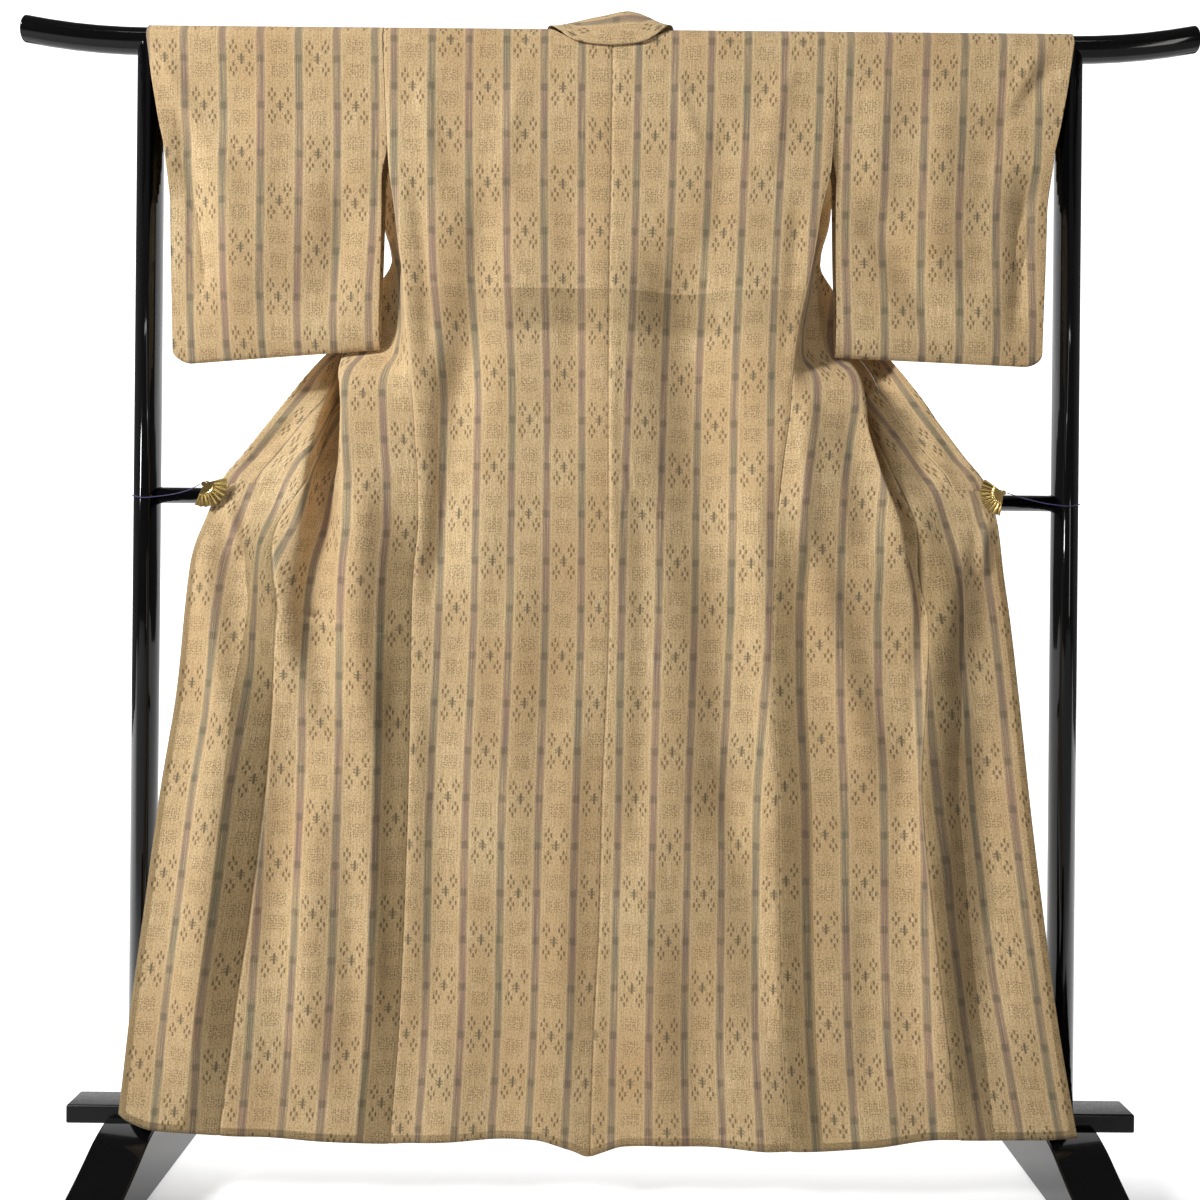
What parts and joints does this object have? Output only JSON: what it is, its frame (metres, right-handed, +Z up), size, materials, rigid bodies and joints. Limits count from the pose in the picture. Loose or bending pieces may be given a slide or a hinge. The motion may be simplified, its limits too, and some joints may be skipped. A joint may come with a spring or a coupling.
{
  "type": "silk kimono on a kimono stand",
  "caption": "Silk kimono hung on a black lacquered kimono stand, back to the front, with its front panels drawn out to the posts by fan-shaped clips.",
  "frame": {"origin": "on the floor, midway between the two feet, below the top rail", "axes": "+X along the top rail to the right, +Y away from the side that the garment's back faces, +Z up"},
  "size_m": [1.6442, 0.48, 1.6297],
  "materials": {
    "silk": "dull tan pongee silk with woven brown stripes and small ikat figures",
    "gloss_lacquer": "black gloss lacquer on wood",
    "satin_lacquer": "black satin lacquer on wood",
    "aged_brass": "aged gilt brass, pleated",
    "purple_cord": "thin twisted dark purple cord"
  },
  "bodies": {
    "root": {"body_left": "silk", "body_right": "silk", "okumi_left": "silk", "okumi_right": "silk", "sleeve_left": "silk", "sleeve_right": "silk", "collar": "silk", "top_rail": "gloss_lacquer", "middle_rail": "gloss_lacquer", "post_left": "gloss_lacquer", "post_right": "gloss_lacquer", "foot_left": "gloss_lacquer", "foot_right": "gloss_lacquer", "base_board": "satin_lacquer", "clip_fan_left": "aged_brass", "clip_jaw_left": "aged_brass", "clip_pin_left": "aged_brass", "clip_fan_right": "aged_brass", "clip_jaw_right": "aged_brass", "clip_pin_right": "aged_brass", "clip_cord_left": "purple_cord", "clip_cord_right": "purple_cord"}
  },
  "joints": []
}
